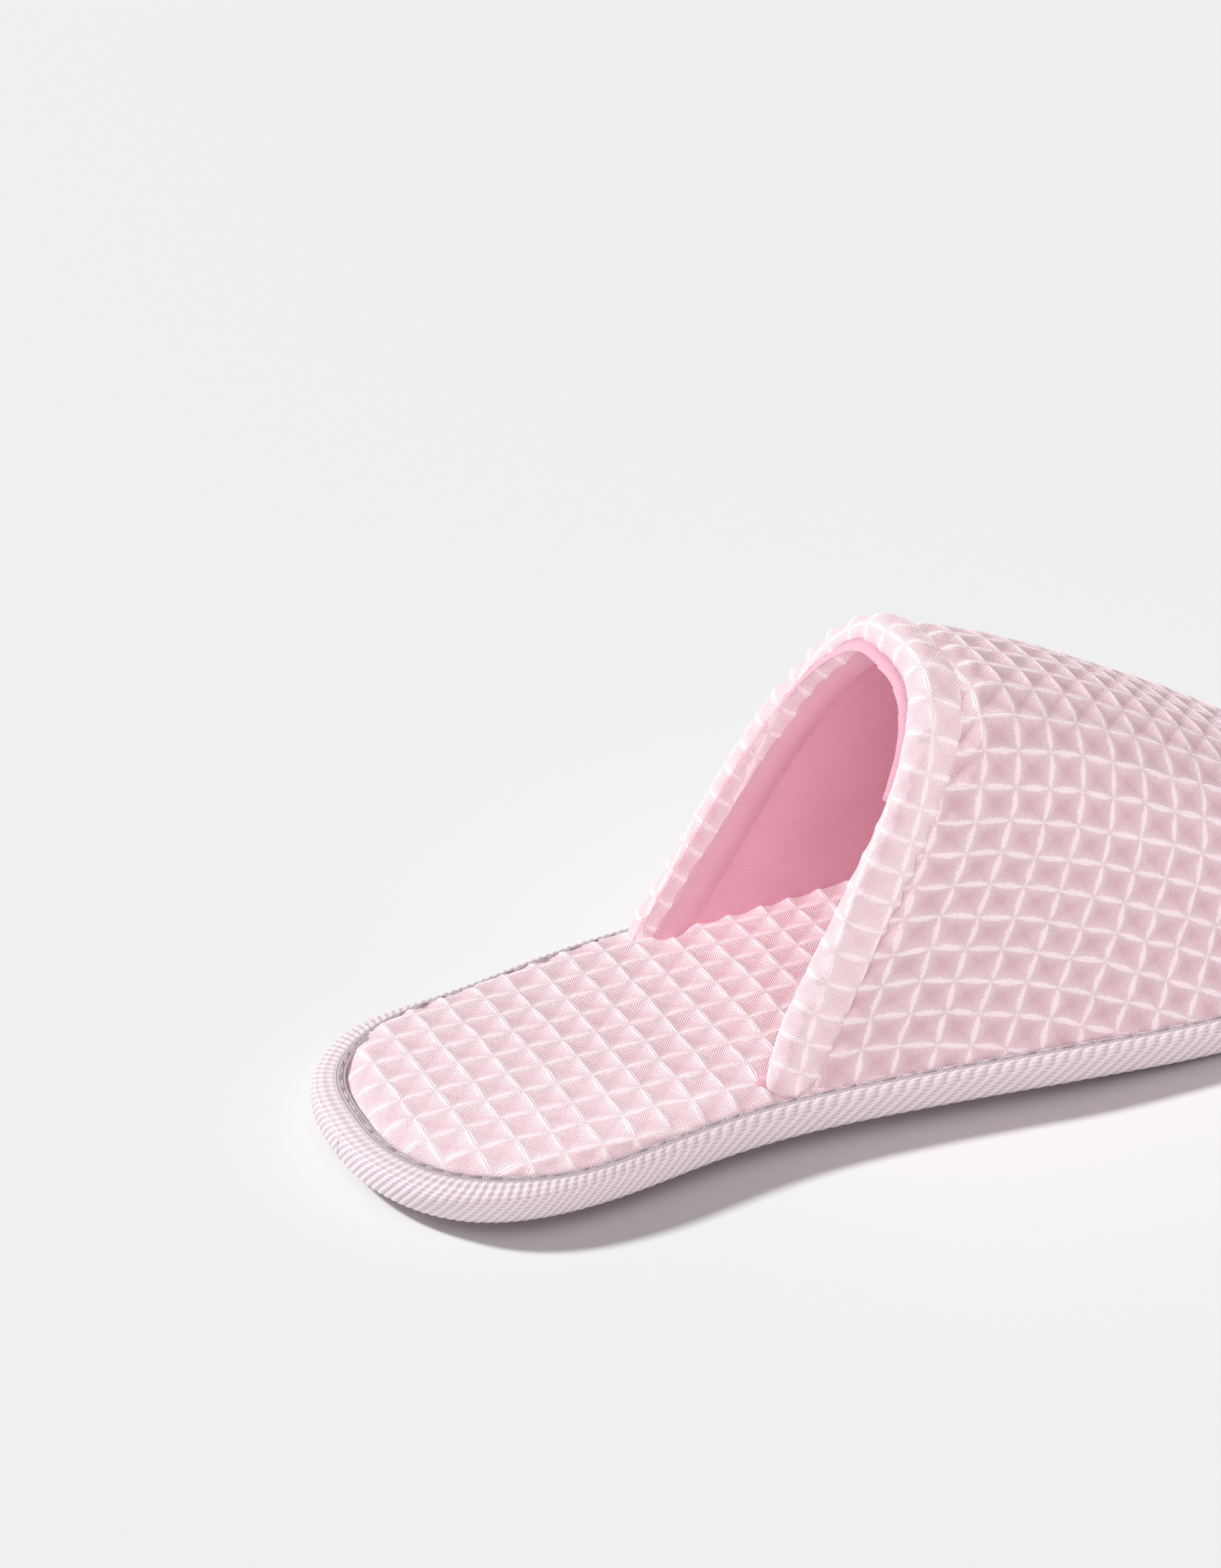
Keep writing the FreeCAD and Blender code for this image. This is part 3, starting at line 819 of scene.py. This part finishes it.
@dataclass
class PaddedInsole:
    """Waffle-covered comfort foam that swells from the tape's lip to a soft flat top.

    Attributes:
        outline: Edge line of the sole.
        tape: Tape that holds the insole's rim.
        weave: Waffle of the cover.
        grain: Turn of the cloth from the sole's long axis, in degrees.
        roll: Width of the rounded rim, in mm.
        puff: Most that the foam swells above its cut shape, in mm.
        divisions: Mesh steps in one waffle cell.
    """

    outline: SoleOutline
    tape: EdgeTape
    weave: WaffleWeave = FOOTBED_WEAVE
    grain: float = -4.5
    roll: float = 7.5
    puff: float = 1.3
    divisions: int = 13

    def swell(self, x: np.ndarray, y: np.ndarray, inset: np.ndarray) -> np.ndarray:
        """Height that the foam gains under its stitched-down rim, from a cloth simulation with pressure.

        Args:
            x: Place along the sole, in metres.
            y: Place across it, in metres.
            inset: Distance inside the edge line, in mm.

        Returns:
            Heights in mm.
        """
        dome = 1 - (1 - np.clip((inset - 6) / 28, 0, 1)) ** 2
        low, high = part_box("insole_cover")
        columns, rows = 85, 31
        bpy.ops.object.select_all(action="DESELECT")
        bpy.ops.mesh.primitive_grid_add(x_subdivisions=columns - 1, y_subdivisions=rows - 1, size=1)
        pad = bpy.context.object
        flat = mesh_points(pad.data)
        flat[:, 0] = low.x + (flat[:, 0] + 0.5) * (high.x - low.x)
        flat[:, 1] = low.y + (flat[:, 1] + 0.5) * (high.y - low.y)
        pad.data.vertices.foreach_set("co", flat.ravel())
        held = self.outline.inset(flat[:, 0], flat[:, 1]) / MM < 7
        pins = pad.vertex_groups.new(name="stitched_down")
        pins.add(np.flatnonzero(held).tolist(), 1.0, "REPLACE")
        cloth = pad.modifiers.new("swell", "CLOTH")
        cloth.settings.vertex_group_mass = pins.name
        cloth.settings.use_pressure = True
        cloth.settings.uniform_pressure_force = 4
        cloth.settings.effector_weights.gravity = 0
        cloth.settings.quality = 6
        cloth.settings.tension_stiffness = cloth.settings.compression_stiffness = 25
        scene = bpy.context.scene
        for step in range(1, 21):
            scene.frame_set(step)
        evaluated = pad.evaluated_get(bpy.context.evaluated_depsgraph_get())
        height = np.abs(mesh_points(evaluated.to_mesh())[:, 2])
        evaluated.to_mesh_clear()
        bpy.data.objects.remove(pad)
        scene.frame_set(1)
        most = np.quantile(height, 0.97)
        log.info("insole swell: %.1f mm before it is scaled to %.1f mm", most / MM, self.puff)
        if most < 1e-6:
            return self.puff * dome
        order = np.lexsort((flat[:, 0].round(6), flat[:, 1].round(6)))
        table = (np.clip(height / most, 0, 1.05) * self.puff)[order].reshape(rows, columns)
        at = np.clip((x - low.x) / (high.x - low.x), 0, 1) * (columns - 1.001)
        up = np.clip((y - low.y) / (high.y - low.y), 0, 1) * (rows - 1.001)
        i, j = at.astype(int), up.astype(int)
        s, t = at - i, up - j
        return ((table[j, i] * (1 - s) + table[j, i + 1] * s) * (1 - t)
                + (table[j + 1, i] * (1 - s) + table[j + 1, i + 1] * s) * t)

    def grid(self) -> tuple[ClothGrid, np.ndarray]:
        """The cover's surface, and where it is kept."""
        low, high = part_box("insole_cover")
        step = self.weave.cell_u / self.divisions
        half_length, half_width = (high.x - low.x) / 2 / MM + 8, (high.y - low.y) / 2 / MM + 14
        a = np.arange(-half_length, half_length, step)
        b = np.arange(-half_width, half_width, step)
        a, b = np.meshgrid(a, b, indexing="ij")
        turn = math.radians(self.grain)
        x = (a * math.cos(turn) - b * math.sin(turn)) * MM + (low.x + high.x) / 2
        y = (a * math.sin(turn) + b * math.cos(turn)) * MM
        inset = self.outline.inset(x, y) / MM
        inner = inset - self.tape.rim(x, y)
        rise = np.clip((inner + 0.1) / self.roll, 0, 1)
        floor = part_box("edge_binding")[1].z / MM - 1.2
        top = high.z / MM
        height = floor + (top - floor - self.puff * 0.6) * (1 - (1 - rise) ** 3)
        height = height + self.swell(x, y, inset) * smooth(inner, 0, 5) * 0.7
        height += 0.35 * soft_noise(x / MM, y / MM, 60, SEED) * smooth(inset, 6, 14)
        u, v = strayed(a, b, 0.5, 70, 1)
        sheet = ClothGrid(np.stack([x, y, height * MM], -1), u, v)
        relief = (self.weave.relief(u, v) - 0.75) * smooth(inner, -0.1, 2.4)
        return sheet.raised(relief), inner > -1.2

    def build(self) -> bpy.types.Object:
        """Make the insole."""
        sheet, keep = self.grid()
        piece = sheet.build("padded_insole", keep)
        Cloths.FOOTBED.value.dress(piece)
        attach(piece, BODY)
        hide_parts("insole_cover", "insole_foam")
        return piece


# ---------------------------------------------------------------- upper

@dataclass
class OpeningPlane:
    """Plane of the foot opening's rim.

    Attributes:
        lean: How far the plane goes forward for each mm up.
        skew: How far it goes forward for each mm towards the lateral side.
    """

    lean: float = 0.5
    skew: float = 0.094
    normal: np.ndarray = field(init=False)
    offset: float = field(init=False)
    half_width: float = field(init=False)

    def __post_init__(self) -> None:
        normal = np.array([1, -self.skew, -self.lean])
        self.normal = normal / np.linalg.norm(normal)
        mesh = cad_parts["opening_binding"].data
        flat = np.zeros(len(mesh.vertices) * 3)
        mesh.vertices.foreach_get("co", flat)
        along = flat.reshape(-1, 3) @ self.normal
        self.offset = (along.min() + along.max()) / 2
        self.half_width = (along.max() - along.min()) / 2

    def ahead(self, points: np.ndarray) -> np.ndarray:
        """Distance in mm in front of the plane."""
        return (points @ self.normal - self.offset) / MM


@dataclass
class LeaningSections:
    """Cross-sections of the hollow upper in planes that lean forward as the cloth's threads do.

    Attributes:
        node: CAD node that is cut.
        opening: Plane of the foot opening.
        outside: True for the node's outer face, False for its inner face.
        lean: Lean of the planes from upright, in degrees.
        base: Height of the line that the sections are seen from, in mm.
        planes: Number of sections.
        rays: Number of points measured on one section.
    """

    node: str
    opening: OpeningPlane
    outside: bool
    lean: float = 19.0
    base: float = 11.0
    planes: int = 260
    rays: int = 181

    def measure(self) -> tuple[np.ndarray, np.ndarray]:
        """Cut the node.

        Returns:
            Plane offsets in mm, and points in metres, planes by rays by 3, from the medial side over the top.
        """
        surface = node_surface(self.node)
        turn = math.radians(self.lean)
        normal = np.array([math.cos(turn), 0, -math.sin(turn)])
        rise = np.array([math.sin(turn), 0, math.cos(turn)])
        side = np.array([0.0, -1.0, 0.0])
        base = self.base * MM
        low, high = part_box(self.node)
        front = surface.ray_cast(Vector((0.3, 0, base)), Vector((-1, 0, 0)))[0]
        toe = (front.x if self.outside else front.x - 0.008)
        start = self.opening.offset / self.opening.normal[0] * math.cos(turn) - 0.022
        end = toe * math.cos(turn) - base * math.sin(turn) - 0.0006
        share = np.linspace(0, 1, self.planes)
        offsets = end - (end - start) * (1 - share) ** 1.25
        angles = np.radians(np.linspace(-2.4, 182.4, self.rays))
        radius = np.full((self.planes, self.rays), np.nan)
        origins = np.empty((self.planes, 3))
        directions = np.cos(angles)[:, None] * side + np.sin(angles)[:, None] * rise
        for i, offset in enumerate(offsets):
            reach = (base + offset * math.sin(turn)) / math.cos(turn)
            origins[i] = offset * normal + reach * rise
            for j, direction in enumerate(directions):
                if self.outside:
                    place = Vector(origins[i] + direction * 0.25)
                    hit, facing, _, _ = surface.ray_cast(place, Vector(-direction))
                else:
                    hit, facing, _, _ = surface.ray_cast(Vector(origins[i]), Vector(direction))
                if hit is None or facing.dot(Vector(self.opening.normal)) < -0.85:
                    continue
                far = float((np.array(hit) - origins[i]) @ direction)
                if far > 0.0004:
                    radius[i, j] = far
        for i in range(self.planes - 2, -1, -1):
            gap = np.isnan(radius[i])
            radius[i, gap] = radius[i + 1, gap]
        for i in range(1, self.planes):
            gap = np.isnan(radius[i])
            radius[i, gap] = radius[i - 1, gap]
        return offsets / MM, origins[:, None, :] + directions[None] * radius[..., None]

    def cloth(self, step: float, across: int) -> tuple[ClothGrid, np.ndarray]:
        """Lay an even sheet over the sections.

        Args:
            step: Distance between two rows of points along the ridge, in mm.
            across: Number of points from the medial edge to the lateral edge.

        Returns:
            The sheet, and each point's distance in mm from its nearer bottom edge.
        """
        offsets, points = self.measure()
        ridge = self.rays // 2
        crest = points[:, ridge]
        run = run_length(crest) / MM
        run += offsets[0]
        rows = np.arange(run[0], run[-1], step)
        even = np.empty((len(rows), self.rays, 3))
        for j in range(self.rays):
            even[:, j] = along_line(rows, run, points[:, j])
        flat_offset = np.interp(rows, run, offsets)
        share = np.linspace(-1, 1, across)
        laid = np.empty((len(rows), across, 3))
        down = np.empty((len(rows), across))
        height = np.empty(len(rows))
        for i, line in enumerate(even):
            length = run_length(line) / MM
            medial, lateral = length[ridge], length[-1] - length[ridge]
            place = np.where(share < 0, share * medial, share * lateral)
            laid[i] = along_line(place + medial, length, line)
            down[i] = place
            height[i] = min(medial, lateral)
        side = smooth(np.abs(down), 12, 62)
        u = rows[:, None] * (1 - side) + flat_offset[:, None] * side
        edge = np.where(down < 0, (1 + share)[None] * height[:, None], (1 - share)[None] * height[:, None])
        return ClothGrid(laid, u, down), edge


@dataclass
class UpperShell:
    """Padded waffle upper with a brushed lining.

    Attributes:
        opening: Plane of the foot opening.
        weave: Waffle of the outer cloth.
        groove: Depth of the dip along the rim's roll, in mm.
        band: Width of the soft band inside the opening, in mm.
        band_start: Where the band starts, in mm in front of the opening's plane.
        band_height: How far the band stands in from the lining, in mm.
    """

    opening: OpeningPlane
    weave: WaffleWeave = UPPER_WEAVE
    groove: float = 1.5
    band: float = 9.6
    band_start: float = -3.4
    band_height: float = 3.1

    def build_cloth(self) -> bpy.types.Object:
        """Make the outer waffle cloth."""
        sheet, edge = LeaningSections("upper_outer", self.opening, True).cloth(0.64, 250)
        ahead = self.opening.ahead(sheet.points)
        u, v = strayed(sheet.u, sheet.v, 0.6, 60, 3)
        relief = (self.weave.relief(u, v) - 1.0) * (0.25 + 0.75 * smooth(edge, 1.5, 5))
        relief += 0.35 * soft_noise(sheet.u, sheet.v, 34, SEED + 5)
        relief -= self.groove * (1 - smooth(ahead, 5.0, 9.5))
        cloth = ClothGrid(sheet.points, u, v).raised(relief)
        piece = cloth.build("upper_waffle_cloth", ahead > -3)
        Cloths.UPPER.value.dress(piece)
        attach(piece, BODY)
        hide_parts("upper_outer", "upper_padding")
        return piece

    def build_lining(self) -> bpy.types.Object:
        """Make the brushed lining with its soft band behind the rim."""
        sections = LeaningSections("upper_lining", self.opening, False, planes=150, rays=121)
        sheet, _ = sections.cloth(0.9, 190)
        ahead = self.opening.ahead(sheet.points)
        middle = self.band_start + self.band / 2
        band = np.clip(1 - ((ahead - middle) / (self.band / 2)) ** 2, 0, 1) ** 0.75 * self.band_height
        folds = 0.35 * soft_noise(sheet.u, sheet.v, 26, SEED + 6)
        tucked = 2.4 * (1 - smooth(ahead, self.band_start, self.band_start + 1.4))
        inward = band + folds * smooth(ahead, 4, 10) - tucked
        behind = np.clip(self.band_start - ahead, 0, None)
        sheet.points += self.opening.normal * (behind * MM)[..., None]
        lining = ClothGrid(sheet.points[:, ::-1], sheet.u[:, ::-1], sheet.v[:, ::-1]).raised(inward[:, ::-1])
        piece = lining.build("brushed_lining", (behind < 2.5)[:, ::-1])
        Cloths.LINING.value.dress(piece)
        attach(piece, BODY)
        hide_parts("upper_lining")
        return piece


@dataclass
class OpeningRoll:
    """Plump waffle-cloth roll round the foot opening.

    Attributes:
        opening: Plane of the foot opening.
        weave: Waffle of the roll's cloth.
        base: Height of the point that the arch is seen from, in mm.
        step: Distance between two rings of points, in mm.
        around: Number of points on one ring.
        twist: How far the cloth turns round the roll for each mm along it.
        bury: How far the ends go down into the insole, in mm.
    """

    opening: OpeningPlane
    weave: WaffleWeave = ROLL_WEAVE
    base: float = 11.0
    step: float = 0.5
    around: int = 68
    twist: float = 0.12
    bury: float = 3.5

    def centre_line(self) -> tuple[np.ndarray, np.ndarray]:
        """Middle of the roll and half its thickness, at an even spacing from the medial end.

        Returns:
            Points in metres, and half thicknesses in metres.
        """
        surface = node_surface("opening_binding")
        normal = self.opening.normal
        side = np.array([0, -1.0, 0]) - normal * -normal[1]
        side /= np.linalg.norm(side)
        rise = np.cross(side, normal)
        rise *= math.copysign(1, rise[2])
        origin = normal * self.opening.offset
        origin = origin - side * (origin @ np.array([0, 1.0, 0])) / side[1]
        origin = origin + rise * (self.base * MM - origin[2]) / rise[2]
        middles, halves = [], []
        for angle in np.radians(np.linspace(-1, 181, 500)):
            direction = math.cos(angle) * side + math.sin(angle) * rise
            inner = surface.ray_cast(Vector(origin), Vector(direction))[0]
            outer = surface.ray_cast(Vector(origin + direction * 0.25), Vector(-direction))[0]
            if inner is None or outer is None:
                continue
            inner, outer = np.array(inner), np.array(outer)
            middles.append((inner + outer) / 2)
            halves.append(np.linalg.norm(outer - inner) / 2)
        line, half = np.array(middles), np.array(halves)
        drop = np.array([0, 0, -self.bury * MM])
        line = np.vstack([line[:1] + drop, line, line[-1:] + drop])
        half = np.concatenate([half[:1], half, half[-1:]])
        length = run_length(line)
        places = np.arange(0, length[-1], self.step * MM)
        even = along_line(places, length, line)
        smoothing = np.ones(9) / 9
        padded = np.pad(even, ((4, 4), (0, 0)), mode="edge")
        even = np.stack([np.convolve(padded[:, axis], smoothing, "valid") for axis in range(3)], 1)
        return even, np.full(len(places), float(np.median(half)))

    def build(self) -> bpy.types.Object:
        """Make the roll."""
        line, half = self.centre_line()
        along = np.gradient(line, axis=0)
        along /= np.linalg.norm(along, axis=1, keepdims=True)
        outward = np.cross(self.opening.normal, along)
        outward *= np.sign((outward * (line - line.mean(0))).sum(1).mean())
        across = np.cross(along, outward)
        ring = np.linspace(0, math.tau, self.around + 1)
        places = np.arange(len(line)) * self.step
        end = np.clip(np.minimum(places, places[-1] - places) / 3.5, 0, 1)
        closing = np.sqrt(1 - (1 - end) ** 2)
        full = self.opening.half_width
        plump = 1 + 0.05 * soft_noise(places, places * 0, 22, SEED + 8)
        c, s = np.cos(ring), np.sin(ring)
        bulk = (np.abs(c) ** 2.4 + np.abs(s) ** 2.4) ** (-1 / 2.4)
        rows = []
        for k in range(len(ring)):
            offset = outward * (c[k] * half * bulk[k])[:, None] + across * s[k] * full * bulk[k]
            rows.append(line + offset * (closing * plump)[:, None])
        points = np.stack(rows, 0)
        girth = math.tau * math.sqrt((half[0] ** 2 + full ** 2) / 2) / MM
        cells = max(1, round(girth / self.weave.cell_v))
        v = np.repeat((ring / math.tau * cells * self.weave.cell_v)[:, None], len(line), 1)
        v = v + (self.twist * places)[None]
        u = np.repeat(places[None], len(ring), 0)
        u = u + 0.4 * soft_noise(places[None] + v * 0, v * 0, 40, SEED + 9)
        sheet = ClothGrid(points, u, v)
        outer = 0.35 + 0.65 * smooth(c, -0.5, 0.4)[:, None]
        relief = (self.weave.relief(u, v) - 0.55) * closing[None] * outer
        facing = (sheet.normals() * (points - line[None])).sum(2).mean()
        order = slice(None, None, 1 if facing > 0 else -1)
        turned = ClothGrid(points[order], u[order], v[order]).raised(relief[order])
        turned.points[-1] = turned.points[0] = (turned.points[-1] + turned.points[0]) / 2
        turned.closed = True
        piece = turned.build("opening_roll")
        Cloths.ROLL.value.dress(piece)
        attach(piece, BODY)
        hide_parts("opening_binding", "opening_seam_thread")
        return piece


# ---------------------------------------------------------------- sewing and outsole

@dataclass
class SewnRow:
    """One row of stitches that lies in the cloth under it.

    Attributes:
        node: CAD node that holds the stitches.
        name: Piece's name.
        finish: Finish of the thread.
        tape: Tape that the row is sewn through.
        follows_lip: Whether the row moves in with the tape's wider lip at the heel.
    """

    node: str
    name: str
    finish: SpunThread
    tape: EdgeTape
    follows_lip: bool = False

    def build(self) -> bpy.types.Object:
        """Make the row from its stitches' own shapes."""
        piece = bpy.data.objects.new(self.name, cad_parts[self.node].data.copy())
        bpy.context.scene.collection.objects.link(piece)
        bpy.ops.object.select_all(action="DESELECT")
        bpy.context.view_layer.objects.active = piece
        piece.select_set(True)
        weld()
        points = mesh_points(piece.data)
        if self.follows_lip:
            line = self.tape.outline.loop[::4]
            nearest = ((points[:, None, :2] - line[None]) ** 2).sum(2).argmin(1)
            inward = -self.tape.outline.outward()[::4][nearest]
            points[:, :2] += inward * (self.tape.heel_reach(points[:, 0]) * MM)[:, None]
        piece.data.vertices.foreach_set("co", ROCKER.settle(points).ravel())
        piece.data.update()
        bpy.ops.object.shade_smooth()
        self.finish.dress(piece)
        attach(piece, BODY)
        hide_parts(self.node)
        return piece


@dataclass
class Outsole:
    """Foam outsole, which keeps its CAD shape."""

    finish: MouldedFoam = MouldedFoam()

    def dress(self) -> bpy.types.Object:
        """Give the outsole its finish."""
        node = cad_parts["outsole"]
        self.finish.dress(node)
        return node


# ---------------------------------------------------------------- studio

@dataclass
class Studio:
    """Plain paper floor, soft light from above and behind, and the camera.

    Attributes:
        camera_place: Camera's place, in metres.
        camera_aim: Direction that it looks in.
        lens: Focal length for a 36 mm sensor, in mm.
        sky: Strength of the even light all round.
        key: Strength of the light that comes over the far side of the heel.
        key_way: Direction that it comes from.
        key_spread: Angle that it fills, in degrees, which sets how soft its shadow is.
        fill: Power of the soft light on the near side, in watts.
        toe_fill: Power of the soft light over the toe, in watts.
        sole_shadow: Pieces that cast the crisp shadow on the floor.
        slipper: Pieces that the two soft lights fall on.
    """

    camera_place: tuple[float, float, float] = (-0.4039, -0.60625, 0.4379)
    camera_aim: tuple[float, float, float] = (0.4201, 0.7771, -0.4687)
    lens: float = 90.66
    sky: float = 0.36
    key: float = 3.45
    key_way: tuple[float, float, float] = (-0.9, 1.25, 1.0)
    key_spread: float = 7.0
    fill: float = 34.0
    toe_fill: float = 12.0
    sole_shadow: bpy.types.Collection = field(default_factory=lambda: bpy.data.collections.new("sole_shadow"))
    slipper: bpy.types.Collection = field(default_factory=lambda: bpy.data.collections.new("slipper"))

    def build(self) -> None:
        """Make the floor, the lights and the camera."""
        bpy.ops.object.select_all(action="DESELECT")
        bpy.ops.mesh.primitive_plane_add(size=12)
        floor = bpy.context.object
        floor.name = "paper_floor"
        StudioPaper().dress(floor)
        world = bpy.context.scene.world or bpy.data.worlds.new("studio")
        bpy.context.scene.world = world
        world.use_nodes = True
        tree = world.node_tree
        tree.nodes.clear()
        sky = add_node(tree, "ShaderNodeBackground", {"Color": (1.0, 0.92, 0.925, 1.0), "Strength": self.sky})
        add_node(tree, "ShaderNodeOutputWorld", {"Surface": sky.outputs[0]})
        bpy.context.scene.view_settings.view_transform = "Standard"
        key = self._light("window_key", "SUN", self.key_way, self.key)
        key.data.angle = math.radians(self.key_spread)
        key.data.color = (0.95, 1.0, 1.0)
        key.light_linking.blocker_collection = self.sole_shadow
        for name, place, power in (("front_fill", (-1.3, -1.9, 0.9), self.fill),
                                   ("toe_fill", (1.3, -0.5, 0.8), self.toe_fill)):
            soft = self._light(name, "AREA", place, power)
            soft.data.size = 1.4
            soft.light_linking.receiver_collection = self.slipper
        self._camera()

    @staticmethod
    def _light(name: str, kind: str, place: tuple[float, float, float], power: float) -> bpy.types.Object:
        """Add a light that faces the slipper."""
        data = bpy.data.lights.new(name, kind)
        data.energy = power
        light = bpy.data.objects.new(name, data)
        light.location = place
        light.rotation_euler = (-Vector(place)).to_track_quat("-Z", "Y").to_euler()
        bpy.context.scene.collection.objects.link(light)
        return light

    def _camera(self) -> None:
        """Add the camera."""
        data = bpy.data.cameras.new("camera")
        data.lens = self.lens
        data.sensor_width = 36
        data.clip_start = 0.01
        camera = bpy.data.objects.new("camera", data)
        camera.location = self.camera_place
        camera.rotation_euler = Vector(self.camera_aim).to_track_quat("-Z", "Y").to_euler()
        bpy.context.scene.collection.objects.link(camera)
        bpy.context.scene.camera = camera


def main() -> None:
    """Build the slipper's pieces in order."""
    logging.basicConfig(level=logging.INFO, format="%(name)s: %(message)s")
    studio = Studio()
    studio.build()
    outline = SoleOutline()
    opening = OpeningPlane()
    tape = EdgeTape(outline)
    upper = UpperShell(opening)
    mauve = SpunThread("spun_thread_mauve", "C2B2B9", "9C8A93")
    insole = PaddedInsole(outline, tape)
    sole = [make() for make in (tape.build, tape.build_lap, insole.build, Outsole().dress)]
    for piece in sole:
        studio.sole_shadow.objects.link(piece)
    pieces = sole + [make() for make in (
        upper.build_cloth, upper.build_lining, OpeningRoll(opening).build,
        SewnRow("edge_needle_thread", "edge_needle_stitches", mauve, tape, follows_lip=True).build,
        SewnRow("edge_bobbin_thread", "edge_bobbin_stitches", mauve, tape).build,
    )]
    for piece in pieces:
        studio.slipper.objects.link(piece)
        log.info("%s: %d faces", piece.name, len(piece.data.polygons))


if __name__ == "__main__":
    main()
